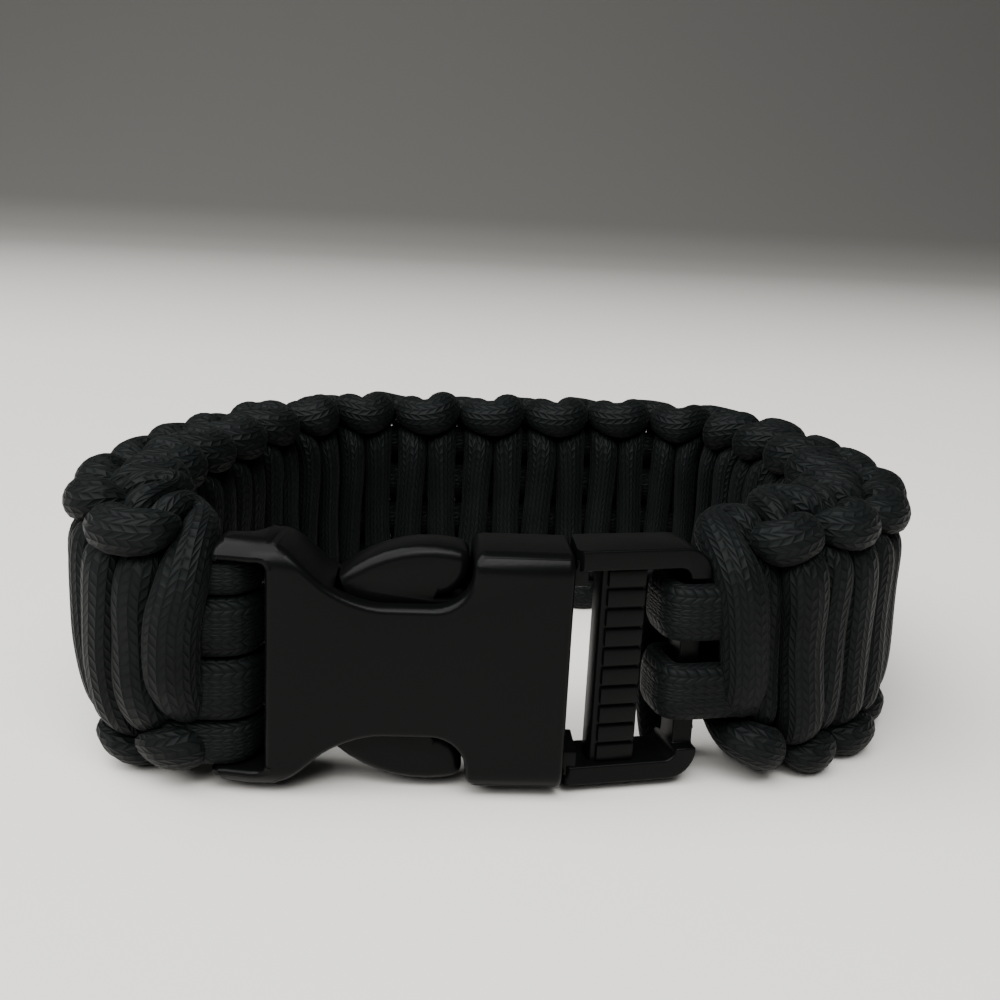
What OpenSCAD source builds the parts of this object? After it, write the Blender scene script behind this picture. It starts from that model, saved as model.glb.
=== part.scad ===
// Woven cord bracelet with a side-release buckle, standing on the side edge of its band.
// Millimetres. +Z is the width of the band, +X runs along the buckle, and the buckle faces -Y.

/* [Band] */
// Width of the woven band, from edge to edge
band_w = 24.8; // [22:0.2:28]
// Thickness of the woven band
band_t = 9.6; // [8.6:0.2:10.6]
// Length of band that one half knot takes, away from the ends
knot_pitch = 3.75; // [3.4:0.05:4.2]
// How much closer the half knots sit at the two ends
end_squeeze = 0.5; // [0:0.05:0.6]
// Share by which the band's width is gathered at the two ends
end_gather = 0.24; // [0:0.02:0.3]
// Depth of the groove between two crossing strands
face_groove = 1.0; // [0.4:0.1:1.4]
// Depth of the notch between two bumps along an edge
edge_notch = 1.7; // [0.8:0.1:2.2]
// Radius that rounds the first and the last knot of the band
end_round = 1.9; // [0.5:0.1:2.4]
// How much the bumps are pressed flat along the edge that the band rests on
rest_press = 0.3; // [0:0.05:0.4]
// How far the lower edge is tucked in where the band bends beside the receptacle
low_tuck = 3; // [0:0.2:4]

/* [Loop] */
// How far the band reaches out past the receptacle's end
left_reach = 13.3; // [12:0.1:17]
// How far the band reaches out past the insert's end
right_reach = 21.5; // [19:0.1:26]
// Depth of the closed loop, from the buckle's face to the far side
loop_d = 56.5; // [50:0.5:66]

/* [Receptacle] */
// Length of the receptacle
female_len = 28.1; // [26:0.1:31]
// Height of the receptacle's mouth
mouth_h = 19.9; // [19:0.1:21]
// How far the cord end stands out past the mouth, above and below
base_flare = 0.4; // [0.1:0.05:0.8]
// Thickness of the buckle
buckle_t = 7.8; // [7:0.1:9]
// Thickness of the front and back plates
plate_t = 1.4; // [1:0.1:1.7]
// Thickness of the walls beside the mouth
mouth_wall = 1.05; // [0.8:0.05:1.3]
// Height left between the two side scoops
waist_h = 10.9; // [10:0.1:12]
// Thickness of the arms above and below the cord slot
arm_t = 1.7; // [1.4:0.1:2]
// Diameter of the bar that the cords go round
female_bar_d = 1.8; // [1.4:0.1:2]
// Width of the slot behind that bar
slot_w = 2.4; // [2.3:0.1:3]

/* [Insert] */
// Length of the ladder frame outside the mouth
frame_len = 11.1; // [10.5:0.1:13]
// How far the ladder frame stands out past the mouth, above and below
frame_flare = 0.15; // [0:0.05:0.4]
// Thickness of the ladder frame's rails, front to back
frame_t = 5; // [4.4:0.1:5.4]
// Height of each rail
rail_h = 1.7; // [1.4:0.1:2]
// Angle by which the frame leans back, to follow the wrist
frame_angle = 11; // [0:1:14]
// Width of the ribbed bar
rib_bar_w = 3.5; // [3:0.1:4]
// Number of grip ribs
rib_count = 10; // [6:1:11]
// Width of the outer bar that the cords go round
outer_bar_w = 1.8; // [1.5:0.1:2.2]

/* [Cord wraps] */
// Width of a cord where it lies flat round the insert's outer bar
wrap_w = 4.9; // [4:0.1:5.2]
// Thickness of a cord pressed in the receptacle's slot
slot_wrap_t = 1.75; // [1.4:0.05:1.8]
// Thickness of a cord round the insert's outer bar
bar_wrap_t = 2; // [1.8:0.1:2.4]
// Distance between the two wraps on the insert
wrap_spread = 6.9; // [5.6:0.1:7.6]
// Width of the cord that crosses behind those two wraps
cross_cord_w = 3.5; // [2.5:0.1:4]
// Length of cord left bare between the insert and the band
bare_cord = 1.5; // [0.5:0.1:2.5]

/* [Fits] */
// Gap between a piece and what it seats on
seat_gap = 0.2; // [0.1:0.05:0.3]
// Clearance of the insert inside the receptacle
slide_gap = 0.3; // [0.2:0.05:0.4]
// How much lower the buckle hangs than the middle of the band
buckle_drop = 1.2; // [0:0.1:1.5]

/* [Hidden] */

$fn = 48;
over = 1;
arc_step = 9;
cord_color = [0.09, 0.11, 0.105];
plastic_color = [0.075, 0.08, 0.085];

buckle_len = female_len + seat_gap + frame_len;
base_h = mouth_h + 2 * base_flare;
frame_h = mouth_h + 2 * frame_flare;
band_mid = band_w / 2 - rest_press;
buckle_mid = band_mid - buckle_drop;

// Outline values of the receptacle, measured from its cord end
end_r = 1.6;
shoulder_r = 4;
shoulder_x = 3.6;
scoop_r = 7.5;
scoop_x = female_len * 0.477;
shoulder_gap_r = 3;
mouth_len = 7.9;
mouth_x = female_len - mouth_len;
corner_r = 1;
edge_r = 2.2;
base_front = 0.4;
base_back = buckle_t * 0.67;
base_grow_x = 5;
base_slope = 2;
base_bevel = 1;
slot_h = base_h - 2 * arm_t;
slot_wraps = 4;
slot_pitch = (slot_h - 2 * slide_gap + seat_gap) / slot_wraps;
bar_x = female_bar_d / 2;
bar_y = buckle_t * 0.46;
slot_x = female_bar_d;
cavity_x = 8.6;

// Values of the insert, measured from the receptacle's cord end
frame_x = female_len + seat_gap;
frame_y = (buckle_t - frame_t) / 2;
rib_bar_x = frame_x + 1.65;
rib_bar_t = 3.2;
rib_h = 0.35;
rib_share = 0.84;
frame_r = 2.4;
outer_bar_t = 2.8;
outer_bar_x = frame_x + frame_len - outer_bar_w;
neck_h = 1.5;
gusset_w = 1;
cross_w = 2.4;
guide_t = 1.8;
guide_x = 12.5;
pad_tip_x = 9.7;
pad_arc_r = 10.9;
pad_arc_x = 16.9;
pad_inner_h = 4.1;
pad_gap = 0.25;
prong_t = 1.6;
cross_cord_t = 2.2;
cross_cord_h = 15.6;
cross_cord_x = 0.3;
cross_cord_z = -2.5;
inner_t = buckle_t - 2 * plate_t - 2 * slide_gap;
inner_h = mouth_h / 2 - mouth_wall - slide_gap;

// Path of the band in plan. Each row is a control point of a smooth curve:
// [share of the reach beyond the buckle's end, share of the loop's depth]
left_shares = [[0.94, 0.06], [1.08, 0.21], [0.88, 0.41], [0.53, 0.63],
              [0.04, 0.83], [-0.77, 0.95], [-1.94, 0.97]];
right_shares = [[-0.475, 0.99], [0.19, 1.01], [0.72, 0.95], [0.93, 0.76],
               [1.03, 0.54], [1.05, 0.33], [0.83, 0.14]];
// Quarter of the band's cross section, from the middle of a face to the edge. Each row is
// [share of half thickness, share of half width, face groove, side bump, edge notch]
section_rows = [[1.00, 0.00, 1.0, 0.0, 0.0],
                [0.98, 0.34, 1.0, 0.0, 0.0],
                [0.92, 0.60, 0.9, 0.1, 0.0],
                [0.78, 0.80, 0.4, 0.6, 0.0],
                [0.54, 0.94, 0.0, 0.9, 0.1],
                [0.20, 1.00, 0.0, 0.1, 0.9]];
rings_per_knot = 4;
curve_steps = 10;

// Plan path of the band
end_gap = 0.45;
end_run = 4.6;
left_span = left_reach - band_t / 2;
right_span = right_reach - band_t / 2;
depth_span = loop_d - band_t;
frame_dir = [cos(frame_angle), sin(frame_angle)];
pivot = [frame_x, buckle_t / 2];
left_end = [-end_gap, bar_y];
right_end = pivot + frame_dir * (frame_len + bare_cord);

function left_point(row) = [-row[0] * left_span, band_t / 2 + row[1] * depth_span];
function right_point(row) = [buckle_len + row[0] * right_span, band_t / 2 + row[1] * depth_span];

controls = concat([left_end + [end_run, 0], left_end, left_end - [end_run, 0]],
                  [for (row = left_shares) left_point(row)],
                  [for (row = right_shares) right_point(row)],
                  [right_end + frame_dir * end_run, right_end, right_end - frame_dir * end_run]);
spans = len(controls) - 3;

// Point and direction on a uniform cubic B-spline, t counts the spans
function spline_weights(f) = [pow(1 - f, 3), 3 * f * f * f - 6 * f * f + 4,
                              -3 * f * f * f + 3 * f * f + 3 * f + 1, f * f * f] / 6;
function slope_weights(f) = [-pow(1 - f, 2), 3 * f * f - 4 * f, -3 * f * f + 2 * f + 1, f * f] / 2;
function span_of(t) = min(spans - 1, floor(t));
function weighted(i, w) = w[0] * controls[i] + w[1] * controls[i + 1]
                        + w[2] * controls[i + 2] + w[3] * controls[i + 3];
function route_point(t) = weighted(span_of(t), spline_weights(t - span_of(t)));
function route_slope(t) = weighted(span_of(t), slope_weights(t - span_of(t)));

// Length along the path, so that the knots are evenly spaced
stations = [for (i = [0:spans * curve_steps]) route_point(i / curve_steps)];
function running(list, i = 0, sum = 0, out = []) =
    i >= len(list) ? out
    : let (step = i == 0 ? 0 : norm(list[i] - list[i - 1]))
      running(list, i + 1, sum + step, concat(out, [sum + step]));
lengths = running(stations);
band_len = lengths[len(lengths) - 1];
length_table = [for (i = [0:len(lengths) - 1]) [lengths[i], i / curve_steps]];
squeeze_run = 4;
knots = 2 * round(band_len / knot_pitch / 2 + end_squeeze * squeeze_run);
ring_count = knots * rings_per_knot;

// Share of the band's length at u half knots, which sit closer at the two ends
function end_loss(u) = end_squeeze * squeeze_run * (1 - exp(-u / squeeze_run));
function squeezed(u) = u - end_loss(u) - end_loss(knots) + end_loss(knots - u);
function length_at(u) = band_len * squeezed(u) / squeezed(knots);

// Depth of the relief at u half knots along the band. top is 1 or -1, out is 1 or -1.
// A strand is round, so the relief is flat on top and steep beside a groove.
function round_dip(off) = 1 - sqrt(max(0, 1 - 4 * off * off));
function groove(u) = round_dip(abs(u - floor(u) - 0.5));
function notch(u) = round_dip(abs(u - round(u)));
function side_dip(u, top, out) = pow(cos(90 * (u + (top * out > 0 ? 1 : 0))), 2);
function inset(row, u, top, out) =
    row[2] * face_groove * groove(u) + row[3] * edge_notch * side_dip(u, top, out);
function drop(row, u, top, out) =
    row[3] * edge_notch * 0.5 * side_dip(u, top, out) + row[4] * edge_notch * notch(u);
function section_point(row, u, top, out) =
    [out * (row[0] * band_t / 2 - inset(row, u, top, out)),
     top * (row[1] * band_w / 2 - drop(row, u, top, out))];
last = len(section_rows) - 1;
function section(u) = concat(
    [for (i = [0:last]) section_point(section_rows[i], u, 1, 1)],
    [for (i = [last:-1:0]) section_point(section_rows[i], u, 1, -1)],
    [for (i = [1:last]) section_point(section_rows[i], u, -1, -1)],
    [for (i = [last:-1:1]) section_point(section_rows[i], u, -1, 1)]);
section_size = 4 * last + 2;

// What the rounding takes off each side at a length s from the band's nearer end
function end_trim(s) = end_round * (1 - sqrt(1 - pow(1 - min(1, s / end_round), 2)));
function trimmed(size, cut) = size - sign(size) * min(abs(size), cut);

// Share of the band's width that is left at a length s from its nearer end
gather_run = 9;
function narrowing(s) = 1 - end_gather * pow(1 - min(1, s / gather_run), 2);

// What the tuck takes off the offset, at a length s from the receptacle and a height z from the middle
tuck_run = [[0, 0.3], [4, 0.7], [9, 1], [17, 0.85], [26, 0.3], [34, 0]];
function tucked(s, z) = low_tuck * lookup(s, tuck_run) * pow(2 * min(0, z) / band_w, 2);

function ring(i) =
    let (u = i / rings_per_knot,
         s = length_at(u),
         cut = end_trim(min(s, band_len - s)),
         share = narrowing(min(s, band_len - s)),
         t = lookup(s, length_table),
         p = route_point(t),
         d = route_slope(t) / norm(route_slope(t)))
    [for (q = section(u))
        let (off = trimmed(q[0], cut) - tucked(s, q[1] * share))
        [p[0] - d[1] * off, p[1] + d[0] * off, max(0, band_mid + trimmed(q[1] * share, cut))]];
band_points = [for (i = [0:ring_count]) each ring(i)];
band_faces = concat(
    [[for (j = [0:section_size - 1]) j]],
    [[for (j = [section_size - 1:-1:0]) ring_count * section_size + j]],
    [for (i = [0:ring_count - 1], j = [0:section_size - 1])
        let (a = i * section_size + j,
             b = i * section_size + (j + 1) % section_size)
        each [[a, a + section_size, b], [b, a + section_size, b + section_size]]]);

// The origin is under the middle of the whole bracelet
xs = [for (p = band_points) p[0]];
ys = [for (p = band_points) p[1]];
mid_x = (min(xs) + max(xs)) / 2;
mid_y = (min(0, min(ys)) + max(ys)) / 2;

module placed() {
    translate([-mid_x, -mid_y, 0]) children();
}

// Places a piece that is drawn around the buckle's middle height
module on_buckle() {
    placed() translate([0, 0, buckle_mid]) children();
}

function arc(c, r, from, to) =
    let (n = max(2, round(abs(to - from) / arc_step)))
    [for (i = [0:n]) c + r * [cos(from + (to - from) * i / n), sin(from + (to - from) * i / n)]];
function flipped(points) = [for (i = [len(points) - 1:-1:0]) [points[i][0], -points[i][1]]];

// Extrudes an outline drawn in X and Z through the thickness y0 to y1
module through(y0, y1) {
    translate([0, y1, 0]) rotate([90, 0, 0]) linear_extrude(y1 - y0) children();
}

// The angle at which the shoulder's arc meets the scoop's arc
base_top = base_h / 2;
scoop_low = waist_h / 2;
scoop_dx = scoop_x - shoulder_x;
arcs_sum = shoulder_r + scoop_r;
arcs_dz = arcs_sum - (base_top - scoop_low);
meet_angle = atan2(scoop_dx, arcs_dz) - acos(arcs_sum / norm([scoop_dx, arcs_dz]));
mouth_top = mouth_h / 2;

upper_outline = concat(
    arc([end_r, base_top - end_r], end_r, 180, 90),
    arc([shoulder_x, base_top - shoulder_r], shoulder_r, 90, 90 - meet_angle),
    arc([scoop_x, scoop_low + scoop_r], scoop_r, 270 - meet_angle, 270),
    arc([mouth_x - shoulder_gap_r, scoop_low + shoulder_gap_r], shoulder_gap_r, 270, 360),
    arc([mouth_x + corner_r, mouth_top - corner_r], corner_r, 180, 90),
    [[female_len, mouth_top]]);

module receptacle_outline() {
    polygon(concat(upper_outline, flipped(upper_outline)));
}

module receptacle_side() {
    polygon([[0, base_front + base_bevel], [base_bevel, base_front], [base_grow_x - base_slope, 0],
             [female_len, 0], [female_len, buckle_t], [base_grow_x, buckle_t],
             [base_grow_x - base_slope, base_back], [base_bevel, base_back], [0, base_back - base_bevel]]);
}

// Rounded section across the buckle, drawn in Y and Z
module rounded_section(w, h, r) {
    hx = h / 2 - r;
    polygon(concat(arc([w - r, hx], r, 0, 90), arc([r, hx], r, 90, 180),
                   arc([r, -hx], r, 180, 270), arc([w - r, -hx], r, 270, 360)));
}

module receptacle_body() {
    intersection() {
        through(-over, buckle_t + over) receptacle_outline();
        translate([0, 0, -base_h]) linear_extrude(2 * base_h) receptacle_side();
        translate([-over, 0, 0]) rotate([90, 0, 90]) linear_extrude(female_len + 2 * over)
            rounded_section(buckle_t, base_h, edge_r);
    }
}

module buckle_receptacle() {
    color(plastic_color) on_buckle() {
        difference() {
            receptacle_body();
            translate([-over, -over, -slot_h / 2])
                cube([slot_x + slot_w + over, buckle_t + 2 * over, slot_h]);
            translate([cavity_x, plate_t, -mouth_top + mouth_wall])
                cube([female_len, buckle_t - 2 * plate_t, mouth_h - 2 * mouth_wall]);
        }
        translate([bar_x, bar_y, -base_h / 2 + arm_t / 2])
            cylinder(h = base_h - arm_t, d = female_bar_d);
    }
}

module frame_outline() {
    half = frame_h / 2;
    far = frame_x + frame_len;
    polygon(concat([[frame_x - over, -half]], arc([far - frame_r, -half + frame_r], frame_r, 270, 360),
                   arc([far - frame_r, half - frame_r], frame_r, 0, 90), [[frame_x - over, half]]));
}

module frame_window() {
    half = frame_h / 2 - rail_h;
    far = outer_bar_x;
    polygon(concat([[frame_x - 2 * over, -half]], arc([far - 1, -half + 1], 1, 270, 360),
                   arc([far - 1, half - 1], 1, 0, 90), [[frame_x - 2 * over, half]]));
}

// Turns a piece about the mouth, by the lean of the frame
module leaned() {
    translate([pivot[0], pivot[1], 0]) rotate([0, 0, frame_angle])
        translate([-pivot[0], -pivot[1], 0]) children();
}

module ladder_frame() {
    window_h = frame_h - 2 * rail_h;
    rib_pitch = window_h / rib_count;
    bar_front = (buckle_t - rib_bar_t) / 2;
    difference() {
        through(frame_y, frame_y + frame_t) frame_outline();
        through(-over, buckle_t + over) frame_window();
        for (y0 = [-over, (buckle_t + outer_bar_t) / 2])
            translate([outer_bar_x - over, y0, -window_h / 2 + 1])
                cube([outer_bar_w + 2 * over, (buckle_t - outer_bar_t) / 2 + over, window_h - 2]);
    }
    translate([rib_bar_x, bar_front, -frame_h / 2 + rail_h / 2])
        cube([rib_bar_w, rib_bar_t, frame_h - rail_h]);
    for (k = [0:rib_count - 1])
        translate([rib_bar_x + rib_h, bar_front - rib_h,
                   -window_h / 2 + rib_pitch * (k + 0.5 - rib_share / 2)])
            cube([rib_bar_w - rib_h, 2 * rib_h, rib_pitch * rib_share]);
}

// Half of the pad that shows in a scoop, with the prong that carries it. The pad's end follows the scoop.
module prong_outline() {
    tip_angle = acos((pad_tip_x - pad_arc_x) / pad_arc_r);
    end_angle = acos((mouth_x - pad_gap - pad_arc_x) / pad_arc_r);
    low = mouth_top - pad_arc_r + 0.05;
    cross_end = frame_x - cross_w + 0.5;
    scoop_end = [mouth_x - shoulder_gap_r, scoop_low + shoulder_gap_r];
    polygon(concat(arc([pad_arc_x, low], pad_arc_r, end_angle, tip_angle),
                   [[pad_tip_x + prong_t, pad_inner_h], [cross_end, pad_inner_h],
                    [cross_end, pad_inner_h + prong_t]],
                   arc(scoop_end, shoulder_gap_r - pad_gap, 270, 360)));
}

module insert_inside() {
    inner_y = plate_t + slide_gap;
    cross_x = frame_x - seat_gap - cross_w;
    through(inner_y, inner_y + inner_t) {
        prong_outline();
        mirror([0, 1]) prong_outline();
        translate([cross_x, -inner_h]) square([cross_w, 2 * inner_h]);
        translate([guide_x, -guide_t / 2]) square([cross_x - guide_x + 0.5, guide_t]);
        for (side = [0, 1]) mirror([0, side]) {
            translate([cross_x, inner_h - neck_h]) square([cross_w + seat_gap + gusset_w, neck_h]);
            translate([frame_x, inner_h - neck_h]) square([gusset_w, frame_h / 2 - rail_h / 2 - inner_h + neck_h]);
        }
    }
}

module buckle_insert() {
    color(plastic_color) on_buckle() {
        insert_inside();
        difference() {
            leaned() ladder_frame();
            translate([frame_x - frame_t, -over, -frame_h]) cube([frame_t, buckle_t + 2 * over, 2 * frame_h]);
        }
    }
}

// A bar of section w by d, or a round one with no w and d, grown by r and drawn out past X = -leg
module grown_bar(w, d, r, leg) {
    translate([-leg, -d / 2 - r]) square([leg + w / 2, d + 2 * r]);
    for (side = [-1, 1]) translate([w / 2, side * d / 2]) circle(r = r);
    if (d > 0) translate([0, -d / 2]) square([w / 2 + r, d]);
}

// Flat cord of thickness t bent round such a bar, with two straight legs, drawn in X and Y
module wrap_section(w, d, r, t, leg) {
    past = 2 * (r + t);
    difference() {
        grown_bar(w, d, r + t, leg);
        grown_bar(w, d, r, leg + over);
        translate([-leg - past, -past - d]) square([past, 2 * (past + d)]);
    }
}

module receptacle_wrap(index) {
    width = slot_pitch - seat_gap;
    z = (index - (slot_wraps + 1) / 2) * slot_pitch;
    color(cord_color) on_buckle() translate([bar_x, bar_y, z - width / 2]) linear_extrude(width)
        wrap_section(0, 0, female_bar_d / 2 + seat_gap / 2, slot_wrap_t, bar_x + end_gap - seat_gap);
}

// Places a piece that is drawn around the middle of the insert's outer bar
outer_bar_mid = outer_bar_x + outer_bar_w / 2;
module on_outer_bar() {
    placed() translate([0, 0, band_mid]) leaned() translate([outer_bar_mid, buckle_t / 2, 0]) children();
}

module insert_wrap(index) {
    z = (index - 1.5) * wrap_spread;
    leg = frame_x + frame_len + bare_cord - seat_gap - outer_bar_mid;
    color(cord_color) on_outer_bar()
        translate([0, 0, z - wrap_w / 2]) rotate([0, 0, 180]) linear_extrude(wrap_w)
            wrap_section(outer_bar_w, outer_bar_t, seat_gap / 2, bar_wrap_t, leg);
}

// The cord that crosses behind the two wraps
module insert_cross_cord() {
    y = outer_bar_t / 2 + seat_gap + bar_wrap_t + cross_cord_t / 2;
    side = (cross_cord_w - cross_cord_t) / 2;
    color(cord_color) on_outer_bar()
        translate([cross_cord_x, y, cross_cord_z - cross_cord_h / 2]) linear_extrude(cross_cord_h) {
            translate([-side, -cross_cord_t / 2]) square([2 * side, cross_cord_t]);
            for (x = [-side, side]) translate([x, 0]) circle(d = cross_cord_t);
        }
}

module woven_band() {
    color(cord_color) placed() polyhedron(points = band_points, faces = band_faces, convexity = 8);
}

woven_band();
buckle_receptacle();
buckle_insert();
receptacle_wrap(1);  // receptacle_wrap_1
receptacle_wrap(2);  // receptacle_wrap_2
receptacle_wrap(3);  // receptacle_wrap_3
receptacle_wrap(4);  // receptacle_wrap_4
insert_wrap(1);  // insert_wrap_1
insert_wrap(2);  // insert_wrap_2
insert_cross_cord();
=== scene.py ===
"""Woven cord bracelet with a side-release buckle, dressed around its fixed frame.

Lengths are metres, or millimetres where a comment says so. +Z is the width of the band, +X runs
along the buckle, and the buckle faces -Y.
"""

import math

import bmesh
import bpy
import numpy as np
from mathutils import Matrix, Vector


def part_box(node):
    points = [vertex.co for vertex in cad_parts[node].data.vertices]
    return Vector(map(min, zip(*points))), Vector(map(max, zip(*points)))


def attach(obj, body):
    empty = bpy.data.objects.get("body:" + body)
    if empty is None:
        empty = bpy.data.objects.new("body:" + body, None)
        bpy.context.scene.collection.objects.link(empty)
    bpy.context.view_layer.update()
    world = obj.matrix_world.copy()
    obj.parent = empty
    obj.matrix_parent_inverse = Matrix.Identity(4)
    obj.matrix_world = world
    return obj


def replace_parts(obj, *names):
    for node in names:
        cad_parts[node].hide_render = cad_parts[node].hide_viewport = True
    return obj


bl_info = {
    "name": "Woven Cord Bracelet",
    "version": (1, 0, 0),
    "blender": (4, 5, 0),
    "location": "View3D > Sidebar > Bracelet",
    "description": "Builds the cords, the buckle and the stage of a woven cord bracelet",
    "category": "Add Mesh",
}

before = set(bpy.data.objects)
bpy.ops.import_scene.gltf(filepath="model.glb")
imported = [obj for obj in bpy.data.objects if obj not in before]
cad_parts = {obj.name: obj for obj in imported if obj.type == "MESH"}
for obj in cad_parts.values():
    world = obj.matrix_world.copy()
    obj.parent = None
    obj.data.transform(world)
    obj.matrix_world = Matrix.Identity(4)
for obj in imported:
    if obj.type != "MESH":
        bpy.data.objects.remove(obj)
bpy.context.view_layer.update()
MM = 0.001

RECEPTACLE_LOW, RECEPTACLE_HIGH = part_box("buckle_receptacle")
BAND_LOW, BAND_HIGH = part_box("woven_band")
BUCKLE_ORIGIN = Vector(
    (RECEPTACLE_LOW.x, RECEPTACLE_LOW.y, (RECEPTACLE_LOW.z + RECEPTACLE_HIGH.z) / 2)
)
RECEPTACLE_SIZE = RECEPTACLE_HIGH - RECEPTACLE_LOW
BAR_WRAPS = ["insert_wrap_1", "insert_wrap_2"]
SLOT_WRAPS = ["receptacle_wrap_1", "receptacle_wrap_2", "receptacle_wrap_3", "receptacle_wrap_4"]


def distance(name, millimetres, description):
    """A length among the settings of a group of pieces"""
    return bpy.props.FloatProperty(
        name=name, description=description, default=millimetres * MM, subtype="DISTANCE"
    )


class BandSettings(bpy.types.PropertyGroup):
    """Sizes of the woven band and its cords"""

    left_reach: distance(
        "Left reach", 13.3, "How far the band reaches out past the receptacle's end"
    )
    right_reach: distance("Right reach", 21.5, "How far the band reaches out past the insert's end")
    loop_depth: distance(
        "Loop depth", 56.5, "Depth of the closed loop, from the buckle's face to the far side"
    )
    thickness: distance("Thickness", 9.6, "Thickness of the woven band")
    rest_press: distance(
        "Rest press", 0.3, "How much the bumps are pressed flat along the edge that the band rests on"
    )
    low_tuck: distance(
        "Low tuck", 3, "How far the lower edge is tucked in where the band bends beside the receptacle"
    )
    knot_pitch: distance("Knot pitch", 3.75, "Length of band that one half knot takes")
    cord_radius: distance("Cord radius", 2.25, "Radius of a cord where nothing presses on it")
    end_squeeze: bpy.props.FloatProperty(
        name="End squeeze",
        description="How much closer the half knots sit at the two ends",
        default=0.5,
        min=0,
        max=0.6,
    )
    core_pitch: distance("Core pitch", 4.1, "Distance between two neighbouring core cords")
    irregularity: distance(
        "Irregularity", 0.3, "How far a hand-tied strand strays from its even place"
    )
    cord_color: bpy.props.FloatVectorProperty(
        name="Cord colour",
        description="Colour of the nylon cord",
        default=(0.0027, 0.0038, 0.0037),
        subtype="COLOR",
        size=3,
    )


# The band's route in plan, as in the part: [share of the reach, share of the loop's depth]
LEFT_SHARES = [
    (0.94, 0.06),
    (1.08, 0.21),
    (0.88, 0.41),
    (0.53, 0.63),
    (0.04, 0.83),
    (-0.77, 0.95),
    (-1.94, 0.97),
]
RIGHT_SHARES = [
    (-0.475, 0.99),
    (0.19, 1.01),
    (0.72, 0.95),
    (0.93, 0.76),
    (1.03, 0.54),
    (1.05, 0.33),
    (0.83, 0.14),
]
# Steps of the middle line between two of its control points
PATH_STEPS = 60
# Share of the tuck at lengths along the band from the receptacle's end, in millimetres
TUCK_RUN = [(0, 0.3), (4, 0.7), (9, 1), (17, 0.85), (26, 0.3), (34, 0)]
# Gap from the receptacle to the band, bare cord from the insert to the band, and the straight run
# of both ends
END_GAP = 0.45 * MM
BARE_CORD = 1.5 * MM
END_RUN = 4.6 * MM
# Number of half knots over which the squeeze of an end dies away
SQUEEZE_RUN = 4
# Share by which the band is gathered narrower at its ends, and the length that this takes
END_GATHER = 0.24
GATHER_RUN = 9 * MM
# How far the knots are bowed at the receptacle's end
START_BOW = 1.2 * MM
# How far they lean at the insert's end, and the share of the half width that keeps its place there
END_LEAN = 1.3 * MM
END_LEAN_REST = 0.6
# Length from each end over which the bow and the lean die away
END_WARP_RUN = 28 * MM
# The insert's frame: its length out of the mouth, its gap from the mouth and how far it leans back
FRAME_LEN = 11.1 * MM
SEAT_GAP = 0.2 * MM
FRAME_ANGLE = math.radians(11)
# Depth at which the receptacle's bar lies, as a share of the receptacle's
BAR_SHARE = 0.46


def spline_weights(t):
    """Weights of four control points of a uniform cubic B-spline, at a share of the middle span"""
    return (
        (1 - t) ** 3 / 6,
        (3 * t**3 - 6 * t**2 + 4) / 6,
        (-3 * t**3 + 3 * t**2 + 3 * t + 1) / 6,
        t**3 / 6,
    )


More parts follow.
